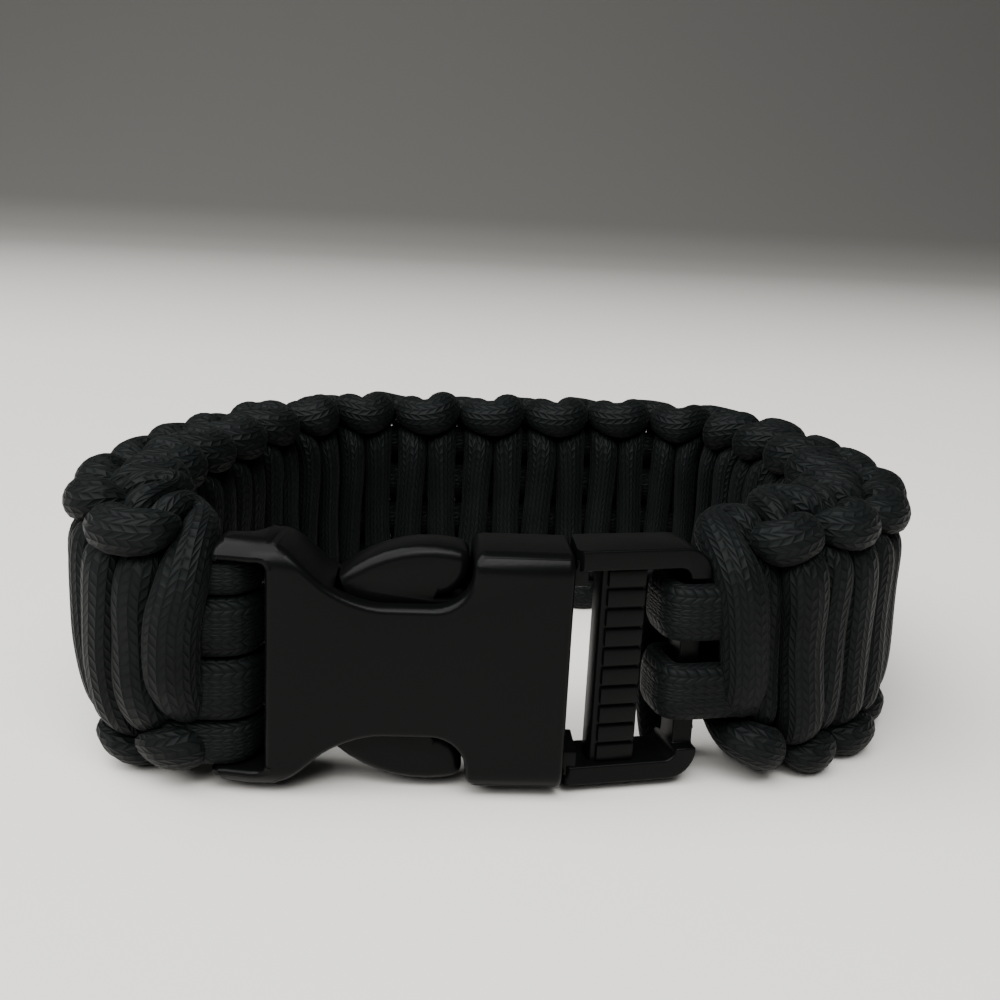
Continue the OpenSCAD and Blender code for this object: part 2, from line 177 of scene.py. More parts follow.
class BandPath:
    """The band's middle line in plan, and the way from band lengths, heights and offsets to places"""

    def __init__(self, band):
        buckle_t = RECEPTACLE_SIZE.y
        frame_x = RECEPTACLE_SIZE.x + SEAT_GAP
        buckle_len = frame_x + FRAME_LEN
        half = band.thickness / 2
        depth = band.loop_depth - band.thickness
        lean = np.array([math.cos(FRAME_ANGLE), math.sin(FRAME_ANGLE)])
        left_end = np.array([-END_GAP, buckle_t * BAR_SHARE])
        right_end = np.array([frame_x, buckle_t / 2]) + lean * (FRAME_LEN + BARE_CORD)
        run = np.array([END_RUN, 0])
        controls = [left_end + run, left_end, left_end - run]
        for reach, share in LEFT_SHARES:
            controls.append([-reach * (band.left_reach - half), half + share * depth])
        for reach, share in RIGHT_SHARES:
            controls.append([buckle_len + reach * (band.right_reach - half), half + share * depth])
        controls += [right_end + lean * END_RUN, right_end, right_end - lean * END_RUN]
        self.controls = np.array(controls) + np.array(BUCKLE_ORIGIN[:2])
        spans = len(controls) - 3
        steps = np.linspace(0, spans, spans * PATH_STEPS + 1)
        points = np.array([self.spline(t, spans) for t in steps])
        lengths = run_lengths(points)
        self.length = lengths[-1]
        self.end_squeeze = band.end_squeeze
        self.knots = 2 * round(self.length / band.knot_pitch / 2 + band.end_squeeze * SQUEEZE_RUN)
        self.u = lengths
        self.points = points
        slopes = np.gradient(points, lengths, axis=0)
        self.slopes = slopes / np.linalg.norm(slopes, axis=1)[:, None]
        self.middle = (BAND_HIGH.z - BAND_LOW.z + band.rest_press) / 2 - band.rest_press
        self.low_tuck = band.low_tuck

    def spline(self, t, spans):
        """Point of the middle line at a number of spans"""
        i = min(spans - 1, int(t))
        return np.array(spline_weights(t - i)) @ self.controls[i : i + 4]

    def end_loss(self, knots):
        """Evenly spaced half knots by which a number of squeezed ones falls short"""
        return self.end_squeeze * SQUEEZE_RUN * (1 - np.exp(-knots / SQUEEZE_RUN))

    def squeezed(self, knots):
        """Evenly spaced half knots that take the length of a number of squeezed ones"""
        left = self.knots - knots
        return knots - self.end_loss(knots) - self.end_loss(self.knots) + self.end_loss(left)

    def length_at(self, knots):
        """Length along the band at a number of half knots, which sit closer at the two ends"""
        return self.length * self.squeezed(knots) / self.squeezed(self.knots)

    def narrowing(self, along):
        """Share of the band's width that is left at lengths along it, near its gathered ends"""
        share = np.clip(np.minimum(along, self.length - along) / GATHER_RUN, 0, 1)
        return 1 - END_GATHER * (1 - share) ** 2

    def warped(self, local):
        """The same band coordinates, bowed at the receptacle's end and leaning at the insert's"""
        height = local[:, 1] / self.middle
        near_start = np.clip(1 - local[:, 0] / END_WARP_RUN, 0, 1) ** 2
        near_end = np.clip(1 - (self.length - local[:, 0]) / END_WARP_RUN, 0, 1) ** 2
        moved = local.copy()
        bow = START_BOW * near_start * (1 - height**2)
        moved[:, 0] += bow + END_LEAN * near_end * (height - END_LEAN_REST)
        return moved

    def place(self, local):
        """Places of band coordinates: length along the band, height from its middle, offset outwards"""
        local = self.warped(local)
        u = np.clip(local[:, 0], 0, self.length)
        point = np.stack([np.interp(u, self.u, self.points[:, i]) for i in (0, 1)], 1)
        slope = np.stack([np.interp(u, self.u, self.slopes[:, i]) for i in (0, 1)], 1)
        slope /= np.linalg.norm(slope, axis=1)[:, None]
        point = point + slope * (local[:, 0] - u)[:, None]
        outward = np.stack([-slope[:, 1], slope[:, 0]], 1)
        below = np.minimum(0, local[:, 1]) / self.middle
        share = np.interp(u / MM, *np.transpose(TUCK_RUN)) * np.square(below)
        plan = point + outward * (local[:, 2] - self.low_tuck * share)[:, None]
        return np.column_stack([plan, np.maximum(0, self.middle + local[:, 1])])


# Half of a half knot of a working strand, from the middle of its crossing to the edge. Each row is
# [share of the pitch along, distance across, distance outwards in millimetres, share of the thinning]
HALF_KNOT = [
    (0.00, 0.0, 2.75, 1.0),
    (-0.04, 3.8, 2.85, 0.9),
    (-0.09, 6.8, 2.75, 0.6),
    (-0.09, 9.3, 1.8, 0.2),
    (-0.02, 10.75, -0.9, 0.0),
    (0.14, 10.3, -3.1, 0.0),
]
EDGE_POINT = (0.5, 10.4, -3.2, 0.0)
# How far the two ends of an edge bump stand higher and lower, in millimetres
BUMP_TILT = 0.2
# Offset outwards at which the tilt is greatest and how far from there it ends, in millimetres
TILT_MIDDLE = -2
TILT_REACH = 4
# How much lower the bumps of the inner strand stand, on the outer side of the edges, in millimetres
OUTER_BUMP_DROP = 0.7
# Offsets outwards of the crossings on the outer face, in millimetres: from the first and from the last
FIRST_RISES = [0.3, -0.3, 0.1]
LAST_RISES = [0.2, -1.3, 0.5, -0.3]
# Strays along the band and outwards, as shares of the stray across it
ALONG_STRAY = 0.5
OUTWARD_STRAY = 0.7
# Seeds of the two strands' strays
OUTER_SEED = 5
INNER_SEED = 11
# Points of the ring round a cord, and lengths of cord from one ring to the next
RING_SIDES = 24
STRAND_STEP = 0.48 * MM
CORE_STEP = 1.0 * MM
# Steps of a strand's line between two of its control points
SPLINE_STEPS = 10
# Places of the core cords across the band, in core pitches, and how far inside the band they end
CORE_SIDES = (-1.8, -0.55, 0.55, 1.8)
CORE_START = 0.4 * MM
# Share by which a strand drawn tight is thinner where it crosses a face
THIN_INNER = 0.3
THIN_OUTER = 0.12
# What a strand's last control points keep of their distance across and outwards, the last one first
END_SHARES = [(0.55, 0.0), (0.75, 0.15), (0.92, 0.55)]


def weave_controls(path, band, inner):
    """Control points of a working strand in band coordinates, with the share of the thinning.

    The outer strand crosses the outer face at every half knot, from the one edge to the other, and
    the inner one is the same turned half round the band's length.
    """
    rng = np.random.RandomState(INNER_SEED if inner else OUTER_SEED)
    drop = 1 - OUTER_BUMP_DROP / EDGE_POINT[1] if inner else 1
    rows = []
    for knot in range(path.knots):
        side = 1 if knot % 2 == 0 else -1
        middle = path.length_at(knot + 0.5)
        before = middle - path.length_at(max(0, knot - 0.5))
        after = path.length_at(min(path.knots, knot + 1.5)) - middle
        sway = rng.uniform(-1, 1) * ALONG_STRAY * band.irregularity
        rise = 0 if inner else crossing_rise(knot, path.knots)
        for way, pitch in ((-1, before), (1, after)):
            part = HALF_KNOT[:0:-1] if way < 0 else HALF_KNOT
            for along, across, outward, thin in part:
                share = max(0, 1 - abs(outward - TILT_MIDDLE) / TILT_REACH)
                tilt = -way * BUMP_TILT * share * (-1 if inner else 1)
                reach = drop * across + tilt
                lift = rise * max(0, min(1, outward))
                place = middle + way * along * pitch + sway
                rows.append([place, side * way * reach * MM, (outward + lift) * MM, thin])
        along, across, outward, thin = EDGE_POINT
        if knot < path.knots - 1:
            rows.append([middle + along * after, side * drop * across * MM, outward * MM, thin])
    rows = np.array(rows)
    strays = band.irregularity * rng.uniform(-1, 1, (len(rows), 3))
    rows[:, :3] += strays * [ALONG_STRAY, 1, OUTWARD_STRAY]
    if inner:
        rows[:, 1:3] *= -1
    rows[:, 1] *= path.narrowing(rows[:, 0])
    return tucked_ends(rows)


def crossing_rise(knot, knots):
    """How far a crossing near one of the band's ends stands out of the outer face, in millimetres"""
    if knot < len(FIRST_RISES):
        return FIRST_RISES[knot]
    if knots - 1 - knot < len(LAST_RISES):
        return LAST_RISES[knots - 1 - knot]
    return 0


def tucked_ends(rows):
    """Turns the two ends of a strand into the band"""
    rows = rows[1:-1]
    for i, (across, outward) in enumerate(END_SHARES):
        for end in (i, -1 - i):
            rows[end, 1] *= across
            rows[end, 2] *= outward
    return rows


def splined(rows):
    """Points of the strand's line through its control points"""
    weights = spline_weights(np.linspace(0, 1, SPLINE_STEPS, endpoint=False)[:, None])
    spans = [
        sum(weight * rows[i + j] for j, weight in enumerate(weights)) for i in range(len(rows) - 3)
    ]
    return np.concatenate(spans)


def run_lengths(line):
    """Length along a line up to each of its points"""
    return np.concatenate([[0], np.cumsum(np.linalg.norm(np.diff(line[:, :3], axis=0), axis=1))])


def even_points(line, step):
    """The same line with evenly spaced points"""
    lengths = run_lengths(line)
    count = max(2, round(lengths[-1] / step))
    at = np.linspace(0, lengths[-1], count + 1)
    return np.stack([np.interp(at, lengths, column) for column in line.T], 1)


def softened(values, times):
    """The same rows, each mixed with its neighbours a number of times"""
    values = values.copy()
    for _ in range(times):
        values[1:-1] = (values[:-2] + 2 * values[1:-1] + values[2:]) / 4
    return values


# How often a line's directions, and a cord's surface, are softened
TANGENT_SOFTENING = 8
SURFACE_SOFTENING = 2
# Share of a line's first direction past which its first ring is started from another axis
STEEP = 0.9
# How sharply a cord's free radius gives way to the reach that its neighbours leave
PRESS_POWER = 8
# Furthest that a neighbour's point is looked for, and how near along the cord its own don't count
NEAR = 7.5 * MM
OWN_GAP = 6.9 * MM
# Number of rings that are worked out at once
CHUNK = 40
# Share of a bend's radius that a cord may take up on the inner side, and the least bend per metre
BEND_SHARE = 0.85
LEAST_BEND = 1.0
# Reach in metres where nothing is in the way, and the least distance towards a neighbour that counts
FREE_REACH = 1.0
LEAST_GAP = 1e-6


def line_directions(line):
    """Softened unit vectors along a line"""
    tangents = softened(np.gradient(line, axis=0), TANGENT_SOFTENING)
    return tangents / np.linalg.norm(tangents, axis=1)[:, None]


def ring_directions(line, sides):
    """Unit vectors round each point of a line, carried along it without twist"""
    tangents = line_directions(line)
    normals = np.zeros_like(line)
    normal = np.array([0.0, 0.0, 1.0] if abs(tangents[0][2]) < STEEP else [1.0, 0.0, 0.0])
    for i, tangent in enumerate(tangents):
        normal = normal - tangent * (normal @ tangent)
        normal /= np.linalg.norm(normal)
        normals[i] = normal
    binormals = np.cross(tangents, normals)
    angles = np.arange(sides) * 2 * np.pi / sides
    return (
        normals[:, None] * np.cos(angles)[None, :, None]
        + binormals[:, None] * np.sin(angles)[None, :, None]
    )


def pressed_radii(line, directions, radius, others):
    """How far a soft cord, whose free radius is given for each ring, reaches each way among others"""
    reach = bend_reach(line, directions)
    step = np.linalg.norm(line[1] - line[0])
    index = np.arange(len(line))
    for first in range(0, len(line), CHUNK):
        rows = slice(first, min(first + CHUNK, len(line)))
        centre = line[rows]
        low, high = centre[:, 0].min() - NEAR, centre[:, 0].max() + NEAR
        for other in others:
            near = other[(other[:, 0] > low) & (other[:, 0] < high)]
            reach[rows] = np.minimum(reach[rows], bisector_reach(centre, directions[rows], near))
        own = (line[:, 0] > low) & (line[:, 0] < high)
        for r in range(rows.start, rows.stop):
            far = own & (np.abs(index - r) * step > OWN_GAP)
            part = bisector_reach(line[r : r + 1], directions[r : r + 1], line[far])
            reach[r] = np.minimum(reach[r], part[0])
    free = radius[:, None] * np.ones_like(reach)
    reach = (free**-PRESS_POWER + reach**-PRESS_POWER) ** (-1 / PRESS_POWER)
    for _ in range(SURFACE_SOFTENING):
        reach = (np.roll(reach, 1, 1) + 2 * reach + np.roll(reach, -1, 1)) / 4
    return softened(reach, SURFACE_SOFTENING)


def bend_reach(line, directions):
    """Distance along each direction that stays short of the centre of the line's bend"""
    step = np.linalg.norm(line[1] - line[0])
    bend = np.gradient(line_directions(line), axis=0) / step
    towards = np.einsum("rk,rsk->rs", bend, directions)
    return BEND_SHARE / np.maximum(towards, LEAST_BEND)


def bisector_reach(centres, directions, others):
    """Distance along each direction to the plane half way to the nearest of the other points"""
    if not len(others):
        return np.full(directions.shape[:2], FREE_REACH)
    gaps = others[None] - centres[:, None]
    squares = (gaps**2).sum(2)
    along = np.einsum("rsk,rok->rso", directions, gaps)
    reach = squares[:, None] / (2 * np.maximum(along, LEAST_GAP))
    return np.min(np.where(along > LEAST_GAP, reach, FREE_REACH), axis=2)


# Name of the cords' UV map
CORD_MAP = "cord"


def tube(name, rings, anchors):
    """Closed tube through rings of points, with a UV map of turns round the cord and length along it.

    The picks of the braid spread evenly along each side from one anchor ring to the next.
    """
    count, sides = rings.shape[:2]
    middle = run_lengths(rings.mean(axis=1))
    runs = [run_lengths(side_line) for side_line in rings.swapaxes(0, 1)]
    along = np.stack([np.interp(run, run[anchors], middle[anchors]) for run in runs], 1)
    ring, side = np.meshgrid(np.arange(count - 1), np.arange(sides), indexing="ij")
    beside = (side + 1) % sides
    this, following = ring * sides, (ring + 1) * sides
    quads = np.stack([this + side, this + beside, following + beside, following + side], 2)
    faces = quads.reshape(-1, 4).tolist()
    caps = [list(range(sides))[::-1], [(count - 1) * sides + i for i in range(sides)]]
    mesh = bpy.data.meshes.new(name)
    mesh.from_pydata(rings.reshape(-1, 3).tolist(), [], faces + caps)
    layer = mesh.uv_layers.new(name=CORD_MAP)
    coords = np.zeros((len(mesh.loops), 2))
    turns = np.stack([side, side + 1, side + 1, side], 2)
    coords[: turns.size, 0] = turns.reshape(-1) / sides
    lengths = np.stack(
        [along[ring, side], along[ring, beside], along[ring + 1, beside], along[ring + 1, side]], 2
    )
    coords[: lengths.size, 1] = lengths.reshape(-1) / MM
    layer.data.foreach_set("uv", coords.reshape(-1))
    mesh.polygons.foreach_set("use_smooth", [True] * len(mesh.polygons))
    obj = bpy.data.objects.new(name, mesh)
    bpy.context.scene.collection.objects.link(obj)
    return obj


def cord_piece(name, path, line, spokes, anchors, material):
    """A cord along a line in band coordinates, with the spokes from each of its points to its ring"""
    rings = softened(line[:, None] + spokes, SURFACE_SOFTENING)
    placed = path.place(rings.reshape(-1, 3)).reshape(rings.shape)
    return finished(tube(name, placed, anchors), material)


def finished(piece, material):
    """The piece with its material, on the bracelet's one body"""
    piece.data.materials.append(material)
    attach(piece, "root")
    return piece


# Points of a quarter turn round a bar's corner
TURN_POINTS = 9
# Power of the rounded oblong that is a flat cord's section
FLATNESS = 3.0


def wrap_line(bar, radius, leg):
    """Two quarter turns round a bar's corners and two straight legs, in the plane across the bar"""
    turns = np.linspace(0, np.pi / 2, TURN_POINTS)
    quarter = np.stack([bar.x / 2 + radius * np.sin(turns), -bar.y / 2 - radius * np.cos(turns)], 1)
    half = np.concatenate([[[-leg, -bar.y / 2 - radius], [-leg / 2, -bar.y / 2 - radius]], quarter])
    return np.concatenate([half, half[::-1] * [1, -1]])


def wrap_piece(name, matrix, line, width, thickness, material):
    """A flat cord along a line in the plane across a bar, which runs along the matrix's Z"""
    plan = softened(even_points(np.pad(line, ((0, 0), (0, 1))), STRAND_STEP), 1)
    tangents = np.gradient(plan, axis=0)
    tangents /= np.linalg.norm(tangents, axis=1)[:, None]
    across = np.array([0.0, 0.0, 1.0])
    outwards = np.cross(tangents, across)
    angles = np.arange(RING_SIDES) * 2 * np.pi / RING_SIDES
    wide = np.abs(np.cos(angles) / (width / 2)) ** FLATNESS
    thick = np.abs(np.sin(angles) / (thickness / 2)) ** FLATNESS
    reach = (wide + thick) ** (-1 / FLATNESS)
    rings = (
        plan[:, None]
        + across[None, None] * (reach * np.cos(angles))[None, :, None]
        + outwards[:, None] * (reach * np.sin(angles))[None, :, None]
    )
    turn, place = np.array(matrix.to_3x3()), np.array(matrix.translation)
    return finished(tube(name, rings @ turn.T + place, [0, len(plan) - 1]), material)


class WrapSettings(bpy.types.PropertyGroup):
    """Sizes of the cords round the two bars of the buckle"""

    slot_thickness: distance(
        "Slot cord thickness", 2.1, "Thickness of a cord pressed in the receptacle's slot"
    )
    bar_width: distance(
        "Bar cord width", 4.9, "Width of a cord where it lies flat round the insert's outer bar"
    )
    bar_thickness: distance(
        "Bar cord thickness", 2, "Thickness of a cord round the insert's outer bar"
    )
    bar_spread: distance("Bar cord spread", 6.9, "Distance between the two cords on the insert")
    cross_width: distance(
        "Cross cord width", 5, "Width of the cord that crosses behind the two cords on the insert"
    )
    cross_thickness: distance(
        "Cross cord thickness", 2.2, "Thickness of the cord that crosses behind the two cords on the insert"
    )
    cross_height: distance(
        "Cross cord height", 15.6, "Height of the cord that crosses behind the two cords on the insert"
    )


# How far the cords on the two bars go on into the band
LEG_IN_BAND = 3.4 * MM
# Radius of the receptacle's bar
BAR_RADIUS = 0.9 * MM
# Section of the insert's outer bar, along the buckle and across its depth
OUTER_BAR = Vector((1.8, 2.8)) * MM
# End of the receptacle's cord slot along it, in millimetres, and the slot's share of its height
SLOT_END = 4.2
SLOT_SHARE = 0.836
# How much further along the buckle a cord in the slot reaches per length towards the back
SLOT_LEAN = 0.4
# How much squarer than round the way of a slot cord round its bar is
SLOT_SQUARE = 0.7 * MM
# Cords in the slot from the lowest one up: share of the slot's height, and how much narrower the
# loop round the bar is than the widest one, in millimetres
SLOT_CORDS = [(0.22, 0.35), (0.31, 0.0), (0.29, 0.05), (0.18, 0.75)]
# How far the cross cord leans, and how far below the middle of the band it crosses
CROSS_LEAN = math.radians(7)
CROSS_DROP = 2.5 * MM
# Its way from the middle to its upper end: share of half its height, and share of its end's bend
CROSS_BEND = [(0, 0), (0.6, 0), (0.85, 1 / 3), (1, 1)]


class BRACELET_OT_wraps(bpy.types.Operator):
    """Lay the cords round the bar in the slot and round the insert's outer bar"""

    bl_idname = "bracelet.wraps"
    bl_label = "Cords round the bars"

    def execute(self, context):
        wraps = context.scene.bracelet_wraps
        band = context.scene.bracelet_band
        material = cord_material(band)
        self.slot_cords(wraps, material)
        frame_x = RECEPTACLE_SIZE.x + SEAT_GAP
        pivot = BUCKLE_ORIGIN + Vector((frame_x, RECEPTACLE_SIZE.y / 2, 0))
        bar_offset = FRAME_LEN - OUTER_BAR.x / 2
        place = pivot + bar_offset * Vector((math.cos(FRAME_ANGLE), math.sin(FRAME_ANGLE), 0))
        place.z = BandPath(band).middle
        on_bar = Matrix.Translation(place) @ Matrix.Rotation(FRAME_ANGLE + math.pi, 4, "Z")
        self.bar_cords(wraps, on_bar, material)
        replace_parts(self.cross_cord(wraps, on_bar, material), "insert_cross_cord")
        return {"FINISHED"}

    def slot_cords(self, wraps, material):
        """Lays the four cords round the receptacle's bar, from the lowest one up"""
        thickness = wraps.slot_thickness
        core = Vector((2, 2)) * SLOT_SQUARE
        leg = BAR_RADIUS + END_GAP + LEG_IN_BAND
        slot_height = RECEPTACLE_SIZE.z * SLOT_SHARE
        bottom = BUCKLE_ORIGIN.z - slot_height / 2
        for (share, narrower), node in zip(SLOT_CORDS, SLOT_WRAPS):
            width = share * slot_height
            place = BUCKLE_ORIGIN + Vector((BAR_RADIUS, RECEPTACLE_SIZE.y * BAR_SHARE, 0))
            place.z = bottom + width / 2
            bottom += width
            radius = BAR_RADIUS + SEAT_GAP / 2 + thickness / 2 - narrower * MM / 2
            line = wrap_line(core, radius - SLOT_SQUARE, leg)
            line[:, 0] += SLOT_LEAN * line[:, 1] * np.clip(line[:, 0] / BAR_RADIUS, 0, 1)
            line[:, 0] = np.minimum(line[:, 0], SLOT_END * MM - BAR_RADIUS - thickness / 2)
            name = node.replace("receptacle_wrap", "slot_cord")
            matrix = Matrix.Translation(place)
            piece = wrap_piece(name, matrix, line, width - SEAT_GAP / 2, thickness, material)
            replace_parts(piece, node)

    def bar_cords(self, wraps, on_bar, material):
        """Lays the two cords round the insert's outer bar"""
        thickness = wraps.bar_thickness
        leg = OUTER_BAR.x / 2 + BARE_CORD + LEG_IN_BAND
        line = wrap_line(OUTER_BAR, SEAT_GAP / 2 + thickness / 2, leg)
        for side, node in zip((-1, 1), BAR_WRAPS):
            matrix = Matrix.Translation((0, 0, side * wraps.bar_spread / 2)) @ on_bar
            name = node.replace("insert_wrap", "bar_cord")
            piece = wrap_piece(name, matrix, line, wraps.bar_width, thickness, material)
            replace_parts(piece, node)

    def cross_cord(self, wraps, on_bar, material):
        """The cord that crosses behind the two cords on the insert, with its ends bent towards them"""
        thickness = wraps.cross_thickness
        half = wraps.cross_height / 2
        behind = -OUTER_BAR.y / 2 - SEAT_GAP - wraps.bar_thickness - thickness / 2
        bend = thickness / 4
        rows = [(share * half, behind + bend_share * bend) for share, bend_share in CROSS_BEND]
        line = np.array([(-z, y) for z, y in reversed(rows[1:])] + rows)
        turned = Matrix.Rotation(CROSS_LEAN, 4, "Y") @ Matrix.Rotation(math.radians(-90), 4, "Y")
        place = on_bar @ (Matrix.Translation((0, 0, -CROSS_DROP)) @ turned)
        return wrap_piece("cross_cord", place, line, wraps.cross_width, thickness, material)


class BRACELET_OT_weave(bpy.types.Operator):
    """Weave the two working strands over the core cords"""

    bl_idname = "bracelet.weave"
    bl_label = "Woven strands"

    def execute(self, context):
        band = context.scene.bracelet_band
        path = BandPath(band)
        material = cord_material(band)
        along = np.arange(CORE_START, path.length - CORE_START, CORE_STEP)
        lines = {}
        for i, side in enumerate(CORE_SIDES):
            across = np.full_like(along, side * band.core_pitch)
            lines[f"core_cord_{i + 1}"] = np.stack([along, across, 0 * along, 0 * along], 1)
        for name, inner in (("outer_strand", False), ("inner_strand", True)):
            lines[name] = even_points(splined(weave_controls(path, band, inner)), STRAND_STEP)
        for name, line in lines.items():
            others = [other[:, :3] for key, other in lines.items() if key != name]
            thin = THIN_INNER if name == "inner_strand" else THIN_OUTER
            radius = band.cord_radius * (1 - thin * line[:, 3])
            if name.startswith("core"):
                line[:, 1] *= path.narrowing(line[:, 0])
            middle = line[:, :3]
            directions = ring_directions(middle, RING_SIDES)
            reach = pressed_radii(middle, directions, radius, others)
            crossings = np.flatnonzero(np.diff(np.sign(line[:, 1])))
            anchors = [0, *crossings, len(line) - 1]
            spokes = directions * reach[:, :, None]
            piece = cord_piece(name, path, middle, spokes, anchors, material)
            if name == "outer_strand":
                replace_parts(piece, "woven_band")
        return {"FINISHED"}


class Finish:
    """A material whose shader has constants of its own, with its nodes added one by one"""

    def __init__(self, name, constants):
        self.material = bpy.data.materials.new(name)
        self.material.use_nodes = True
        self.nodes = self.material.node_tree.nodes
        self.links = self.material.node_tree.links
        self.shader = self.nodes["Principled BSDF"]
        for socket, value in constants.items():
            self.shader.inputs[socket].default_value = value

    def add(self, kind, **inputs):
        """A node with its inputs set or linked; an underscore stands for a space in their names"""
        node = self.nodes.new(kind)
        for name, value in inputs.items():
            self.connect(value, node.inputs[name.replace("_", " ")])
        return node

    def connect(self, value, socket):
        """Links a socket to the input, or sets the input to a value"""
        if isinstance(value, bpy.types.NodeSocket):
            self.links.new(value, socket)
        else:
            socket.default_value = value

    def object_place(self):
        """The place in the piece's own space"""
        return self.add("ShaderNodeTexCoord").outputs["Object"]

    def noise(self, scale, detail):
        """A cloudy value in the piece's own space"""
        node = self.add("ShaderNodeTexNoise", Vector=self.object_place(), Scale=scale, Detail=detail)
        return node.outputs["Fac"]

    def math(self, operation, *values):
        """Result of a math node"""
        node = self.add("ShaderNodeMath")
        node.operation = operation
        for value, socket in zip(values, node.inputs):
            self.connect(value, socket)
        return node.outputs[0]

    def ramp(self, value, source, target):
        """The value moved from one range to another"""
        node = self.add("ShaderNodeMapRange", Value=value)
        for name, limit in zip(("From Min", "From Max", "To Min", "To Max"), (*source, *target)):
            node.inputs[name].default_value = limit
        return node.outputs["Result"]

    def rounded(self, share, power):
        """One in the middle of a share from 0 to 1, falling to nothing at its two ends"""
        side = self.math("ABSOLUTE", self.math("SUBTRACT", self.math("MULTIPLY", share, 2.0), 1.0))
        return self.math("SUBTRACT", 1.0, self.math("POWER", side, power))

    def shaded_base(self, colour, shade):
        """Makes the shader's base a colour times a value"""
        scaled = self.add("ShaderNodeVectorMath")
        scaled.operation = "SCALE"
        scaled.inputs[0].default_value = colour
        self.connect(shade, scaled.inputs["Scale"])
        self.connect(scaled.outputs[0], self.shader.inputs["Base Color"])

    def bump(self, height, distance, strength):
        """Gives the shader a relief"""
        bump = self.add("ShaderNodeBump", Height=height, Distance=distance, Strength=strength)
        self.connect(bump.outputs["Normal"], self.shader.inputs["Normal"])


# The braid: columns round a cord, a pick's length in millimetres, and its slant as a share of that
BRAID_COLUMNS = 24
PICK_LENGTH = 0.8
PICK_SLANT = 0.7
# Power of a pick's rounding, its relief, and the painted shade from its edge to its middle: darker in the
# grooves between picks, lighter on their raised middles
PICK_ROUNDING = 2.5
PICK_RELIEF = 0.12 * MM
PICK_STRENGTH = 0.7
PICK_PAINTED_SHADE = (0.55, 1.1)
# Cloudy patches: their noise per metre, the part of it that counts and the shades that it gives
PATCH_SCALE = 260.0
PATCH_NOISE = (0.3, 0.7)
PATCH_SHADES = (0.75, 1.3)
CORD_CONSTANTS = {
    "Roughness": 0.55,
    "Specular IOR Level": 0.075,
    "Sheen Weight": 0.012,
    "Sheen Roughness": 0.4,
}


def cord_material(band):
    """Braided nylon: columns of slanted picks that lean by turns to the one side and the other"""
    found = bpy.data.materials.get("braided_nylon")
    if found:
        return found
    nylon = Finish("braided_nylon", CORD_CONSTANTS)
    turns_and_length = nylon.add("ShaderNodeUVMap")
    turns_and_length.uv_map = CORD_MAP
    split = nylon.add("ShaderNodeSeparateXYZ", Vector=turns_and_length.outputs["UV"])
    column = nylon.math("MULTIPLY", split.outputs["X"], BRAID_COLUMNS)
    across = nylon.math("FRACT", column)
    odd = nylon.math("MODULO", nylon.math("FLOOR", column), 2.0)
    way = nylon.math("SUBTRACT", 1.0, nylon.math("MULTIPLY", 2.0, odd))
    slant = nylon.math("MULTIPLY", PICK_SLANT, nylon.math("SUBTRACT", across, 0.5))
    picks = nylon.math("DIVIDE", split.outputs["Y"], PICK_LENGTH)
    pick = nylon.math("FRACT", nylon.math("ADD", picks, nylon.math("MULTIPLY", way, slant)))
    round_pick = nylon.rounded(pick, PICK_ROUNDING)
    round_column = nylon.rounded(across, PICK_ROUNDING)
    height = nylon.math("MULTIPLY", round_pick, round_column)
    # Painted shade: the base colour is darkened in the grooves between the picks and lightened on their
    # raised middles
    pick_painted_shade = nylon.ramp(height, (0.0, 1.0), PICK_PAINTED_SHADE)
    patch_shade = nylon.ramp(nylon.noise(PATCH_SCALE, 2.0), PATCH_NOISE, PATCH_SHADES)
    nylon.shaded_base(band.cord_color, nylon.math("MULTIPLY", pick_painted_shade, patch_shade))
    nylon.bump(height, PICK_RELIEF, PICK_STRENGTH)
    return nylon.material


# Grain of the plastic: its noise per metre, its relief and the relief's strength
GRAIN_SCALE = 2600.0
GRAIN_RELIEF = 0.02 * MM
GRAIN_STRENGTH = 0.5
PLASTIC_CONSTANTS = {"Roughness": 0.3, "Specular IOR Level": 0.07}


def plastic_material(buckle):
    """Satin black moulded plastic with a fine grain"""
    found = bpy.data.materials.get("black_plastic")
    if found:
        return found
    plastic = Finish("black_plastic", PLASTIC_CONSTANTS)
    plastic.shader.inputs["Base Color"].default_value = (*buckle.plastic_color, 1)
    plastic.bump(plastic.noise(GRAIN_SCALE, 3.0), GRAIN_RELIEF, GRAIN_STRENGTH)
    return plastic.material


class BuckleSettings(bpy.types.PropertyGroup):
    """Sizes and colour of the side-release buckle"""

    mouth_height: distance("Mouth height", 19.9, "Height of the receptacle's mouth")
    waist: distance("Waist", 10.9, "Height left between the two side scoops")
    plate: distance("Plate", 1.4, "Thickness of the front and back plates")
    arm: distance("Arm", 1.7, "Thickness of the arms above and below the cord slot")
    rim: distance("Rim", 0.55, "Radius of the moulded edges of the receptacle")
    frame_height: distance("Frame height", 20.2, "Height of the insert's ladder frame")
    frame_thickness: distance("Frame thickness", 5, "Thickness of the ladder frame, front to back")
    rail: distance("Rail", 1.7, "Height of each rail of the ladder frame")
    ribs: bpy.props.IntProperty(
        name="Ribs",
        description="Number of grip ribs on the insert",
        default=10,
        min=1,
    )
    plastic_color: bpy.props.FloatVectorProperty(
        name="Plastic colour",
        description="Colour of the moulded plastic",
        default=(0.0020, 0.0021, 0.0022),
        subtype="COLOR",
        size=3,
    )


# The buckle is modelled in millimetres from the receptacle's cord end, its front and its middle height.
# Segments of a rounded corner, of a moulded rim and of a small rim
ARC_SEGMENTS = 8
RIM_SEGMENTS = 4
SMALL_RIM_SEGMENTS = 2
# Degrees from point to point of an arc
ARC_STEP = 7
# Places that are nearer than this are the same, and a boolean's vertices are merged up to this
SAME = 1e-3
MERGE_GAP = 0.02
# Degrees of turn past which edges are rounded, and up to which faces are shaded as one
ROUNDED_ANGLE = 38
SMOOTH_ANGLE = 32
# How far a tool runs past what it cuts
OVER = 2


